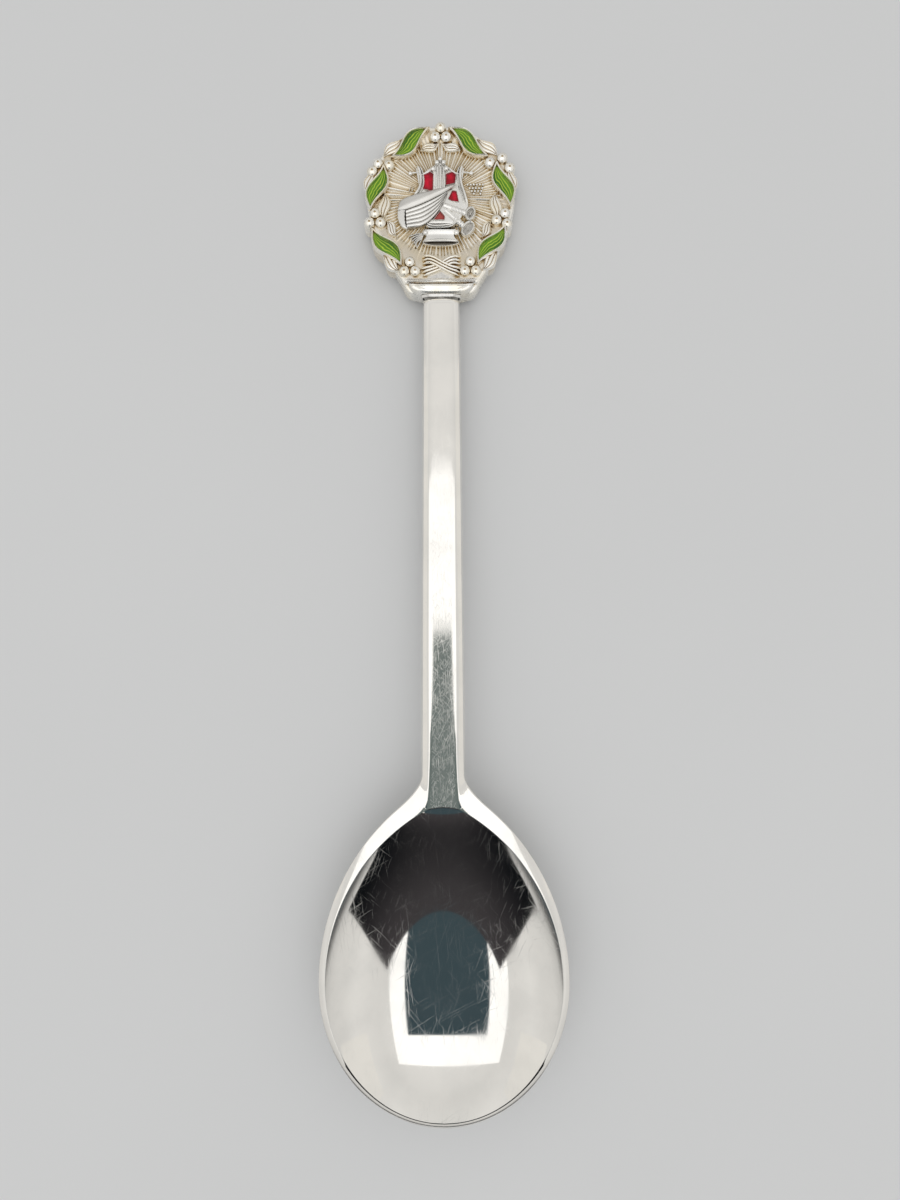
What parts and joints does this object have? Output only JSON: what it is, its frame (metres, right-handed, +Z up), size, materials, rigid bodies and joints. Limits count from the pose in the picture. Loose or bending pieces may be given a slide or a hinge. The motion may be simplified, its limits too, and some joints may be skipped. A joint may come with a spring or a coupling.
{
  "type": "souvenir spoon",
  "caption": "Souvenir spoon with a deep fig-shaped bowl, straight faceted stem and enamelled medallion finial with a berry wreath around a lyre and book.",
  "frame": {"origin": "on the table plane, below the middle of the spoon's overall box, with the spoon lying on its back", "axes": "+Y from the bowl to the finial, +X to the right seen from above, +Z up out of the bowl"},
  "size_m": [0.033, 0.1346, 0.0083],
  "materials": {
    "polished_silver": "mirror-polished silver plate with fine hairline scratches",
    "antique_silver": "cast silver plate, polished on the high points and warm antiqued in the recesses",
    "silver_solder": "dull silver solder",
    "green_enamel": "glossy translucent green enamel over veined metal",
    "red_enamel": "glossy translucent red enamel"
  },
  "bodies": {
    "root": {"spoon_blank": "polished_silver", "finial": "antique_silver", "solder_joint": "silver_solder", "leaf_enamel_1": "green_enamel", "leaf_enamel_2": "green_enamel", "leaf_enamel_3": "green_enamel", "leaf_enamel_4": "green_enamel", "leaf_enamel_5": "green_enamel", "leaf_enamel_6": "green_enamel", "window_enamel_1": "red_enamel", "window_enamel_2": "red_enamel", "window_enamel_3": "red_enamel", "window_enamel_4": "red_enamel"}
  },
  "joints": []
}
